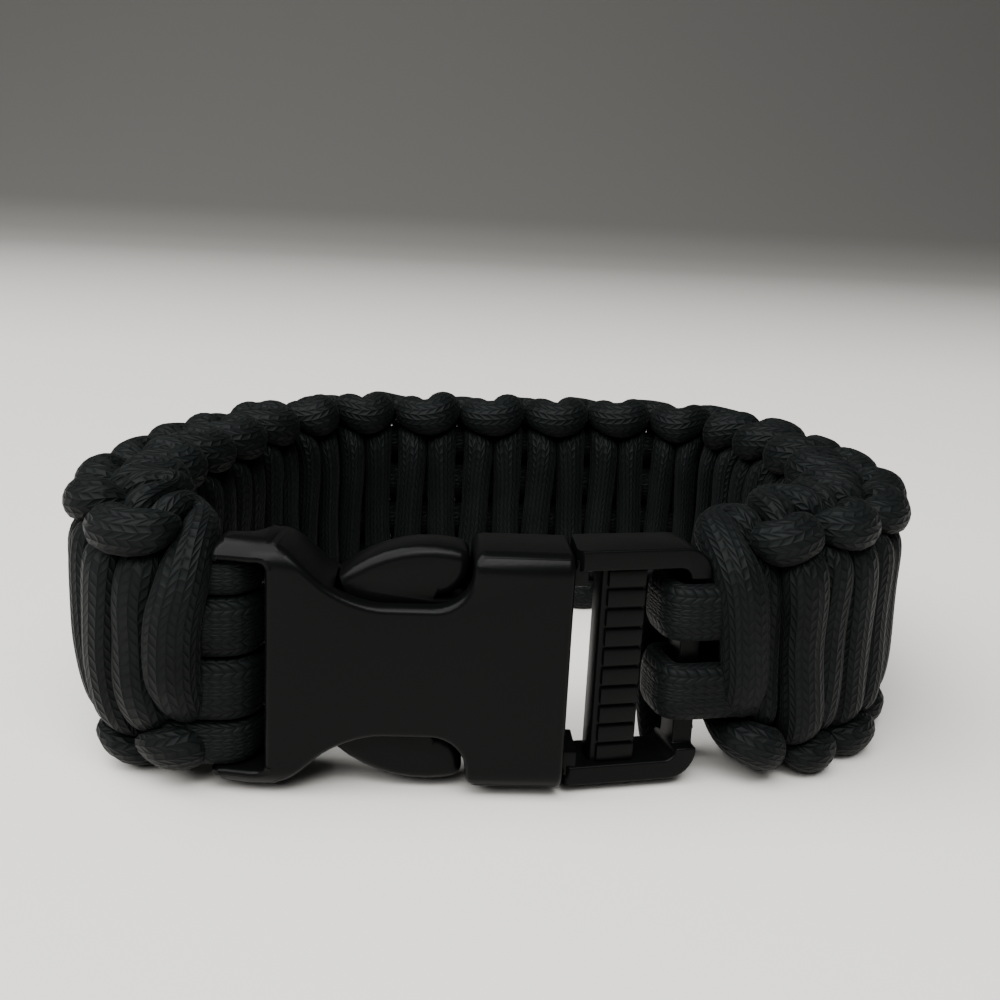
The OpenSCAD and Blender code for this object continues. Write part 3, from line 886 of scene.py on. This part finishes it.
def select_alone(obj):
    """Selects an object alone and makes it the active one"""
    bpy.ops.object.select_all(action="DESELECT")
    obj.select_set(True)
    bpy.context.view_layer.objects.active = obj


def select_points(obj, test):
    """Selects the vertices that pass a test of their place, and nothing else"""
    bpy.ops.mesh.select_all(action="DESELECT")
    bpy.ops.mesh.select_mode(type="VERT")
    mesh = bmesh.from_edit_mesh(obj.data)
    for vertex in mesh.verts:
        vertex.select = test(vertex.co)
    mesh.select_flush_mode()
    bmesh.update_edit_mesh(obj.data)


def select_edges(obj, test):
    """Selects the edges whose two ends pass a test of their places, and nothing else"""
    bpy.ops.mesh.select_all(action="DESELECT")
    bpy.ops.mesh.select_mode(type="EDGE")
    mesh = bmesh.from_edit_mesh(obj.data)
    for edge in mesh.edges:
        edge.select = test(edge.verts[0].co, edge.verts[1].co)
    bmesh.update_edit_mesh(obj.data)


def drawn_face(name, corners):
    """Face with an outline drawn corner by corner from one vertex, left in edit mode.

    Each corner is a place and the radius that rounds it.
    """
    bpy.ops.object.select_all(action="DESELECT")
    bpy.ops.mesh.primitive_plane_add(size=1, location=(0, 0, 0))
    obj = bpy.context.object
    obj.name = name
    bpy.ops.object.mode_set(mode="EDIT")
    bpy.ops.mesh.select_mode(type="VERT")
    bpy.ops.mesh.select_all(action="SELECT")
    bpy.ops.mesh.merge(type="CENTER")
    places = [Vector(place) for place, _ in corners]
    bpy.ops.transform.translate(value=places[0])
    for start, end in zip(places, places[1:]):
        bpy.ops.mesh.extrude_region_move(TRANSFORM_OT_translate={"value": end - start})
    bpy.ops.mesh.select_all(action="SELECT")
    bpy.ops.mesh.edge_face_add()
    for i, (_, radius) in enumerate(corners):
        if radius:
            corner = places[i]
            before = (corner - places[i - 1]).normalized()
            after = (places[(i + 1) % len(places)] - corner).normalized()
            offset = radius * math.tan(before.angle(after) / 2)
            select_points(obj, lambda co: (co - corner).length < SAME)
            bpy.ops.mesh.bevel(offset=offset, segments=ARC_SEGMENTS, affect="VERTICES")
    return obj


def closed_solid(obj):
    """Leaves edit mode with all the faces outwards"""
    bpy.ops.mesh.select_all(action="SELECT")
    bpy.ops.mesh.normals_make_consistent(inside=False)
    bpy.ops.object.mode_set(mode="OBJECT")
    return obj


def drawn(name, corners, depth):
    """Solid with a drawn outline, extruded through the depth"""
    obj = drawn_face(name, corners)
    bpy.ops.mesh.select_all(action="SELECT")
    bpy.ops.mesh.extrude_region_move(TRANSFORM_OT_translate={"value": depth})
    return closed_solid(obj)


def sleeve(name, height, radius, stations):
    """Solid with a rounded section, extruded along X from station to station.

    Each station is its place along X and the section's front and back there.
    """
    x, front, back = stations[0]
    section = ((front, -height / 2), (back, -height / 2), (back, height / 2), (front, height / 2))
    obj = drawn_face(name, [((x, y, z), radius) for y, z in section])
    for (x, front, back), (next_x, next_front, next_back) in zip(stations, stations[1:]):
        middle = (front + back) / 2
        select_points(obj, lambda co: abs(co.x - x) < SAME)
        bpy.ops.mesh.extrude_region_move(TRANSFORM_OT_translate={"value": (next_x - x, 0, 0)})
        for side, move in ((-1, next_front - front), (1, next_back - back)):
            if move:
                select_points(obj, lambda co: abs(co.x - next_x) < SAME and (co.y - middle) * side > 0)
                bpy.ops.transform.translate(value=(0, move, 0))
    return closed_solid(obj)


def both_halves(corners):
    """Corners of the upper half, and the same ones of the lower half, run on the other way"""
    return corners + [((x, y, -z), radius) for (x, y, z), radius in reversed(corners)]


def boxed(name, low, high):
    """Block between two corners"""
    x0, y0, z0 = low
    x1, y1, z1 = high
    corners = [((x, y0, z), 0) for x, z in ((x0, z0), (x1, z0), (x1, z1), (x0, z1))]
    return drawn(name, corners, (0, y1 - y0, 0))


def cut(obj, tool, operation):
    """Boolean of the object with a tool, which is used up"""
    modifier = obj.modifiers.new(operation.lower(), "BOOLEAN")
    modifier.operation = operation
    modifier.solver = "EXACT"
    modifier.object = tool
    apply_modifier(obj, modifier)
    bpy.data.objects.remove(tool)


def apply_modifier(obj, modifier):
    """Makes a modifier's result the object's mesh"""
    select_alone(obj)
    bpy.ops.object.modifier_apply(modifier=modifier.name)


def merge_near(obj):
    """Merges the vertices that a boolean left nearly on one another"""
    select_alone(obj)
    bpy.ops.object.mode_set(mode="EDIT")
    bpy.ops.mesh.select_all(action="SELECT")
    bpy.ops.mesh.remove_doubles(threshold=MERGE_GAP)
    bpy.ops.object.mode_set(mode="OBJECT")


def round_edges(obj, width, segments, clamp=True):
    """Rounds the sharp edges, whose width is clamped where two roundings would meet"""
    modifier = obj.modifiers.new("rounding", "BEVEL")
    modifier.use_clamp_overlap = clamp
    modifier.limit_method = "ANGLE"
    modifier.angle_limit = math.radians(ROUNDED_ANGLE)
    modifier.width = width
    modifier.segments = segments
    modifier.miter_outer = "MITER_ARC"
    apply_modifier(obj, modifier)


def set_in_buckle(obj, material):
    """Takes a piece modelled in millimetres to its place in the row frame"""
    select_alone(obj)
    bpy.ops.object.mode_set(mode="EDIT")
    bpy.ops.mesh.select_all(action="SELECT")
    bpy.ops.mesh.remove_doubles(threshold=SAME / 10)
    bpy.ops.transform.resize(value=(MM, MM, MM), center_override=(0, 0, 0))
    bpy.ops.transform.translate(value=BUCKLE_ORIGIN)
    bpy.ops.mesh.normals_make_consistent(inside=False)
    bpy.ops.object.mode_set(mode="OBJECT")
    bpy.ops.object.shade_smooth_by_angle(angle=math.radians(SMOOTH_ANGLE))
    return finished(obj, material)


# The receptacle's outline: radii of its corners from the cord end to the mouth
END_R = 1.6
SHOULDER_R = 4.0
SCOOP_R = 7.5
MOUTH_GAP_R = 3.0
MOUTH_CORNER_R = 1.0
# Places of the shoulder's and the scoop's middles along it, and the length of the mouth
SHOULDER_X = 3.6
SCOOP_X = 13.4
MOUTH_LEN = 7.9
# Radius of its long edges
EDGE_R = 2.2
# Its front and back at places along it, thinner at the cord end, and where it gets its whole thickness
SIDE_STATIONS = [
    (-2, 0.4, 5.2),
    (1, 0.4, 5.2),
    (2, 0.2, 5.25),
    (3, 0, 5.4),
    (3.5, 0, 5.8),
    (4.2, 0, 6.9),
    (4.8, 0, 7.6),
]
WHOLE_THICKNESS_X = 5.2
# Start of the hollow, and the wall above and below it
CAVITY_START = 9.4
MOUTH_WALL = 1.05
# Sides of the round bar in the slot
PIN_SIDES = 32


class BRACELET_OT_receptacle(bpy.types.Operator):
    """Model the receptacle: arms and bar at the cord end, two scoops, and the mouth"""

    bl_idname = "bracelet.receptacle"
    bl_label = "Receptacle"

    def execute(self, context):
        buckle = context.scene.bracelet_buckle
        length, thickness, height = RECEPTACLE_SIZE / MM
        top = height / 2
        mouth_top = buckle.mouth_height / MM / 2
        waist = buckle.waist / MM / 2
        mouth_x = length - MOUTH_LEN
        plate = buckle.plate / MM
        arm = buckle.arm / MM
        bar = Vector((BAR_RADIUS / MM, thickness * BAR_SHARE))
        span = Vector((SCOOP_X - SHOULDER_X, SHOULDER_R + SCOOP_R - top + waist))
        turn = math.atan2(span.x, span.y) - math.acos((SHOULDER_R + SCOOP_R) / span.length)
        upper = [
            ((0, 0, top), END_R),
            ((SHOULDER_X + SHOULDER_R * math.tan(turn / 2), 0, top), SHOULDER_R),
            ((SCOOP_X - SCOOP_R * math.tan(turn / 2), 0, waist), SCOOP_R),
            ((mouth_x, 0, waist), MOUTH_GAP_R),
            ((mouth_x, 0, mouth_top), MOUTH_CORNER_R),
            ((length, 0, mouth_top), 0),
        ]
        body = drawn("receptacle_body", both_halves(upper), (0, thickness, 0))
        stations = [*SIDE_STATIONS, (WHOLE_THICKNESS_X, 0, thickness), (length + OVER, 0, thickness)]
        cut(body, sleeve("side", 2 * top, EDGE_R, stations), "INTERSECT")
        low = (-OVER, -OVER, arm - top)
        cut(body, boxed("slot", low, (SLOT_END, thickness + OVER, top - arm)), "DIFFERENCE")
        merge_near(body)
        round_edges(body, buckle.rim / MM, RIM_SEGMENTS, clamp=False)
        hollow = mouth_top - MOUTH_WALL
        low = (CAVITY_START, plate, -hollow)
        cut(body, boxed("cavity", low, (length + OVER, thickness - plate, hollow)), "DIFFERENCE")
        bpy.ops.mesh.primitive_cylinder_add(
            radius=bar.x, depth=height - arm, vertices=PIN_SIDES, location=(bar.x, bar.y, 0)
        )
        bpy.ops.object.transform_apply(location=True, rotation=True, scale=True)
        body.select_set(True)
        context.view_layer.objects.active = body
        bpy.ops.object.join()
        piece = set_in_buckle(body, plastic_material(buckle))
        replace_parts(piece, "buckle_receptacle")
        return {"FINISHED"}


# The ladder frame: radii of its outer corners, of the rails' ends at the mouth and of the window
FRAME_CORNER_R = 2.4
RAIL_END_R = 0.9
WINDOW_CORNER_R = 1.0
# Rounding of its edges, and how far the pockets beside the outer bar open the window
FRAME_RIM = 0.55
POCKET_RUN = 1
# The ribbed bar: its near corner from the mouth and from the frame's middle, its section and rounding
RIB_BAR_LOW = Vector((1.95, -1.6))
RIB_BAR_SIZE = Vector((3.9, 2.2))
RIB_BAR_RIM = 0.25
RIB_BAR_SEGMENTS = 3
# The ribs: how far they stand out, their share of the pitch, the strips left free beside them, rounding
RIB_HEIGHT = 0.35
RIB_SHARE = 0.84
RIB_START = 0.5
RIB_END = 0.2
RIB_RIM = 0.12
# The prongs' end in the mouth: half its height, height and length of its necks, and its cross bar
INNER_HALF = 8.6
NECK_HEIGHT = 1.5
NECK_RUN = 1.0
CROSS_BAR = 2.4
# The guide between the prongs: where it starts, and half its height
GUIDE_START = 12.5
GUIDE_HALF = 0.9
# The pads: their tips, the outer arc's middle along the buckle and radius, and their inner height
PAD_TIP = 9.7
PAD_ARC = Vector((16.9, 10.9))
PAD_INNER = 4.1
# Their gap to the mouth, how far they stand above it, and the rounding of their edges and end corners
PAD_GAP = 0.25
PAD_RISE = 0.05
PAD_RIM = 0.9
PAD_CORNER_R = 1.0
# Height of a prong, its gap to the plates, and the rounding of its other edges
PRONG = 1.6
SLIDE_GAP = 0.3
PRONG_RIM = 0.2


def arc(centre, radius, start, end):
    """Points of an arc between two angles in degrees"""
    steps = max(2, round(abs(end - start) / ARC_STEP))
    turns = np.radians(np.linspace(start, end, 1 + steps))
    x, z = centre
    return [(x + radius * math.cos(turn), z + radius * math.sin(turn)) for turn in turns]


def clear_of(places, corner, radius):
    """The places that lie further than a radius from a corner"""
    return [place for place in places if math.dist(place, corner) > radius]


class BRACELET_OT_insert(bpy.types.Operator):
    """Model the insert: prongs with their pads, and the ladder frame with the ribbed bar"""

    bl_idname = "bracelet.insert"
    bl_label = "Insert"

    def execute(self, context):
        buckle = context.scene.bracelet_buckle
        length, thickness, _ = RECEPTACLE_SIZE / MM
        start = length + SEAT_GAP / MM
        piece = self.frame(buckle, start, thickness)
        cut(piece, self.prongs(buckle, length, start, thickness), "UNION")
        piece = set_in_buckle(piece, plastic_material(buckle))
        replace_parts(piece, "buckle_insert")
        return {"FINISHED"}

    def prongs(self, buckle, length, start, thickness):
        """The two prongs with their pads, the guide between them and the cross bar"""
        middle = buckle.mouth_height / MM / 2 - PAD_ARC.y + PAD_RISE
        pad_end = length - MOUTH_LEN - PAD_GAP
        joint = (buckle.frame_height - buckle.rail) / MM / 2
        neck = INNER_HALF - NECK_HEIGHT
        cross = length - CROSS_BAR
        scoop_end = (length - MOUTH_LEN - MOUTH_GAP_R, buckle.waist / MM / 2 + MOUTH_GAP_R)
        tip_angle = math.degrees(math.acos((PAD_TIP - PAD_ARC.x) / PAD_ARC.y))
        end_angle = math.degrees(math.acos((pad_end - PAD_ARC.x) / PAD_ARC.y))
        pad = arc((PAD_ARC.x, middle), PAD_ARC.y, tip_angle, end_angle)
        corner = pad[-1]
        end = arc(scoop_end, MOUTH_GAP_R - PAD_GAP, 0, -90)
        upper = clear_of(pad, corner, PAD_CORNER_R) + [corner] + clear_of(end, corner, PAD_CORNER_R)
        upper += [(cross, PAD_INNER + PRONG), (cross, INNER_HALF), (start, INNER_HALF), (start, joint)]
        upper += [(start + NECK_RUN, joint), (start + NECK_RUN, neck), (length, neck)]
        inside = [(PAD_TIP + PRONG, -PAD_INNER), (cross, -PAD_INNER)]
        inside += [(cross, -GUIDE_HALF), (GUIDE_START, -GUIDE_HALF)]
        front = buckle.plate / MM + SLIDE_GAP
        outer, inner = (
            [((x, front, z), PAD_CORNER_R if (x, z) == corner else 0) for x, z in outline]
            for outline in (upper, inside)
        )
        body = drawn("prongs", both_halves(outer) + both_halves(inner), (0, thickness - 2 * front, 0))
        bpy.ops.object.mode_set(mode="EDIT")

        def on_pad(co):
            z = abs(co.z)
            on_arc = abs(math.dist((co.x, z), (PAD_ARC.x, middle)) - PAD_ARC.y) < SAME
            on_end = abs(math.dist((co.x, z), scoop_end) - MOUTH_GAP_R + PAD_GAP) < SAME
            on_corner = math.dist((co.x, z), corner) < PAD_CORNER_R
            return on_arc or on_corner or (on_end and z > PAD_INNER + PRONG)

        def on_rim(a, b):
            return on_pad(a) and on_pad(b) and abs(a.y - b.y) < SAME and a.z * b.z > 0

        select_edges(body, on_rim)
        bpy.ops.mesh.bevel(offset=PAD_RIM, segments=RIM_SEGMENTS)
        bpy.ops.object.mode_set(mode="OBJECT")
        round_edges(body, PRONG_RIM, SMALL_RIM_SEGMENTS)
        return body

    def frame(self, buckle, start, thickness):
        """The ladder frame with its ribbed bar and outer bar, leaned back about the mouth"""
        half = buckle.frame_height / MM / 2
        rail = buckle.rail / MM
        depth = buckle.frame_thickness / MM
        far = start + FRAME_LEN / MM
        inner_far = far - OUTER_BAR.x / MM
        front = (thickness - depth) / 2
        near = start - depth
        outer = [((near, front, half), 0), ((far, front, half), FRAME_CORNER_R)]
        inner = [((near, front, rail - half), 0), ((inner_far, front, rail - half), WINDOW_CORNER_R)]
        body = drawn("insert_body", both_halves(outer) + both_halves(inner), (0, depth, 0))
        bar_half = OUTER_BAR.y / MM / 2
        window = half - rail - WINDOW_CORNER_R
        front_pocket = (-OVER, thickness / 2 - bar_half)
        back_pocket = (thickness / 2 + bar_half, thickness + OVER)
        for low_y, high_y in (front_pocket, back_pocket):
            low = (inner_far - POCKET_RUN, low_y, -window)
            cut(body, boxed("pocket", low, (far + OVER, high_y, window)), "DIFFERENCE")
        round_edges(body, FRAME_RIM, RIM_SEGMENTS)
        cut(body, self.ribbed_bar(buckle, start, thickness), "UNION")
        pivot = Vector((start, thickness / 2, 0))
        select_alone(body)
        bpy.ops.object.mode_set(mode="EDIT")
        bpy.ops.mesh.select_all(action="SELECT")
        bpy.ops.transform.rotate(value=-FRAME_ANGLE, orient_axis="Z", center_override=pivot)
        bpy.ops.object.mode_set(mode="OBJECT")
        plan = [(near - OVER, -OVER), (start + RAIL_END_R, -OVER)]
        plan += reversed(arc((start + RAIL_END_R, front + RAIL_END_R), RAIL_END_R, 180, 270))
        plan += [(start, thickness + OVER), (near - OVER, thickness + OVER)]
        low = -half - OVER
        cut(body, drawn("mouth", [((x, y, low), 0) for x, y in plan], (0, 0, -2 * low)), "DIFFERENCE")
        return body

    def ribbed_bar(self, buckle, start, thickness):
        """The bar across the frame, with its grip ribs made once and repeated"""
        half = buckle.frame_height / MM / 2
        rail = buckle.rail / MM
        low_x = start + RIB_BAR_LOW.x
        low_y = thickness / 2 + RIB_BAR_LOW.y
        high_x = low_x + RIB_BAR_SIZE.x
        end = half - rail / 2
        bar = boxed("ribbed_bar", (low_x, low_y, -end), (high_x, low_y + RIB_BAR_SIZE.y, end))
        round_edges(bar, RIB_BAR_RIM, RIB_BAR_SEGMENTS)
        window = half - rail
        pitch = 2 * window / buckle.ribs
        first = -window + pitch * (1 - RIB_SHARE) / 2
        low = (low_x + RIB_START, low_y - RIB_HEIGHT, first)
        rib = boxed("rib", low, (high_x - RIB_END, low_y + RIB_HEIGHT, first + pitch * RIB_SHARE))
        round_edges(rib, RIB_RIM, SMALL_RIM_SEGMENTS)
        repeat = rib.modifiers.new("ribs", "ARRAY")
        repeat.count = buckle.ribs
        repeat.use_relative_offset = False
        repeat.use_constant_offset = True
        repeat.constant_offset_displace = (0, 0, pitch)
        apply_modifier(rib, repeat)
        cut(bar, rib, "UNION")
        return bar


class StageSettings(bpy.types.PropertyGroup):
    """Colour of the floor"""

    floor_color: bpy.props.FloatVectorProperty(
        name="Floor colour",
        description="Colour of the pale table top",
        default=(0.72, 0.70, 0.66),
        subtype="COLOR",
        size=3,
    )


# Camera at the photograph's viewpoint: place from the receptacle's near corner, height over the floor,
# turn, tilt and roll
CAMERA_FROM_BUCKLE = Vector((15.91, -88.5)) * MM
CAMERA_HEIGHT = 48.2 * MM
CAMERA_YAW = math.radians(3.86)
CAMERA_PITCH = math.radians(14.48)
CAMERA_ROLL = math.radians(2.9)
# Its lens and sensor in millimetres, and the nearest distance that it shows
CAMERA_LENS = 43.66
CAMERA_SENSOR = 36
CAMERA_NEAR = 1 * MM
# The floor's width, its far edge, and the round and the height of the backdrop that goes up there
FLOOR_SIZE = 4
FLOOR_BACK = 1.6
COVE_RADIUS = 0.9
COVE_SEGMENTS = 16
COVE_HEIGHT = 2.5
# Where the floor's colour starts and ends to fade, and the share of it that the backdrop keeps
FADE_START = 0.22
FADE_END = 0.9
BACK_SHADE = 0.22
# Soft lights, turned to the origin: place, width and height in metres, power in watts
LIGHTS = [((-0.35, -0.3, 0.8), (1.4, 1.1), 33), ((0.1, -0.45, 0.6), (0.5, 0.2), 2.5)]
# Dim light all round: colour and strength
STUDIO_COLOR = (0.75, 0.78, 0.8, 1)
STUDIO_STRENGTH = 0.08


class BRACELET_OT_stage(bpy.types.Operator):
    """Add the pale floor, the soft lights and the camera"""

    bl_idname = "bracelet.stage"
    bl_label = "Stage"

    def execute(self, context):
        self.floor(context)
        self.camera(context)
        self.lights(context)
        return {"FINISHED"}

    def floor(self, context):
        """Adds the floor, which goes up behind as a backdrop"""
        bpy.ops.object.select_all(action="DESELECT")
        bpy.ops.mesh.primitive_plane_add(size=FLOOR_SIZE, location=(0, FLOOR_BACK - FLOOR_SIZE / 2, 0))
        floor = context.object
        floor.name = "floor"
        bpy.ops.object.transform_apply(location=True, rotation=True, scale=True)
        bpy.ops.object.mode_set(mode="EDIT")
        select_edges(floor, lambda a, b: min(a.y, b.y) > FLOOR_BACK - MM)
        bpy.ops.mesh.extrude_region_move(TRANSFORM_OT_translate={"value": (0, 0, COVE_HEIGHT)})
        select_edges(floor, lambda a, b: min(a.y, b.y) > FLOOR_BACK - MM and max(a.z, b.z) < MM)
        bpy.ops.mesh.bevel(offset=COVE_RADIUS, segments=COVE_SEGMENTS)
        bpy.ops.object.mode_set(mode="OBJECT")
        bpy.ops.object.shade_smooth()
        paint = Finish("floor", {"Roughness": 0.6})
        split = paint.add("ShaderNodeSeparateXYZ", Vector=paint.object_place())
        shade = paint.ramp(split.outputs["Y"], (FADE_START, FADE_END), (1.0, BACK_SHADE))
        paint.shaded_base(context.scene.bracelet_stage.floor_color, shade)
        floor.data.materials.append(paint.material)

    def camera(self, context):
        """Adds the camera at the photograph's viewing angle"""
        forward = Vector(
            (
                math.sin(CAMERA_YAW) * math.cos(CAMERA_PITCH),
                math.cos(CAMERA_YAW) * math.cos(CAMERA_PITCH),
                -math.sin(CAMERA_PITCH),
            )
        )
        right = Vector((math.cos(CAMERA_YAW), -math.sin(CAMERA_YAW), 0))
        up = right.cross(forward)
        turned_right = math.cos(CAMERA_ROLL) * right + math.sin(CAMERA_ROLL) * up
        turned_up = math.cos(CAMERA_ROLL) * up - math.sin(CAMERA_ROLL) * right
        axes = Matrix((turned_right, turned_up, -forward)).transposed()
        place = (*(BUCKLE_ORIGIN.xy + CAMERA_FROM_BUCKLE), CAMERA_HEIGHT)
        bpy.ops.object.camera_add(location=place, rotation=axes.to_euler())
        camera = context.object
        camera.data.lens = CAMERA_LENS
        camera.data.sensor_width = CAMERA_SENSOR
        camera.data.clip_start = CAMERA_NEAR
        context.scene.camera = camera

    def lights(self, context):
        """Adds the soft lights and the dim light all round"""
        for place, size, energy in LIGHTS:
            bpy.ops.object.light_add(type="AREA", location=place)
            lamp = context.object
            lamp.data.shape = "RECTANGLE"
            lamp.data.size, lamp.data.size_y = size
            lamp.data.energy = energy
            lamp.rotation_euler = Vector(place).to_track_quat("Z", "Y").to_euler()
        world = bpy.data.worlds.new("studio")
        context.scene.world = world
        world.use_nodes = True
        background = world.node_tree.nodes["Background"]
        background.inputs["Color"].default_value = STUDIO_COLOR
        background.inputs["Strength"].default_value = STUDIO_STRENGTH


class BRACELET_PT_panel(bpy.types.Panel):
    """Lists the steps that build the bracelet"""

    bl_label = "Bracelet"
    bl_idname = "BRACELET_PT_panel"
    bl_space_type = "VIEW_3D"
    bl_region_type = "UI"
    bl_category = "Bracelet"

    def draw(self, context):
        for operator in STEPS:
            self.layout.operator(operator.bl_idname)


STEPS = (
    BRACELET_OT_stage,
    BRACELET_OT_weave,
    BRACELET_OT_wraps,
    BRACELET_OT_receptacle,
    BRACELET_OT_insert,
)
CLASSES = (BandSettings, WrapSettings, BuckleSettings, StageSettings, *STEPS, BRACELET_PT_panel)


def register():
    for cls in CLASSES:
        bpy.utils.register_class(cls)
    bpy.types.Scene.bracelet_band = bpy.props.PointerProperty(type=BandSettings)
    bpy.types.Scene.bracelet_wraps = bpy.props.PointerProperty(type=WrapSettings)
    bpy.types.Scene.bracelet_buckle = bpy.props.PointerProperty(type=BuckleSettings)
    bpy.types.Scene.bracelet_stage = bpy.props.PointerProperty(type=StageSettings)


def unregister():
    del bpy.types.Scene.bracelet_stage
    del bpy.types.Scene.bracelet_buckle
    del bpy.types.Scene.bracelet_wraps
    del bpy.types.Scene.bracelet_band
    for cls in reversed(CLASSES):
        bpy.utils.unregister_class(cls)


def main():
    """Builds the stage and every piece"""
    register()
    bpy.ops.bracelet.stage()
    bpy.ops.bracelet.weave()
    bpy.ops.bracelet.wraps()
    bpy.ops.bracelet.receptacle()
    bpy.ops.bracelet.insert()


if __name__ == "__main__":
    main()
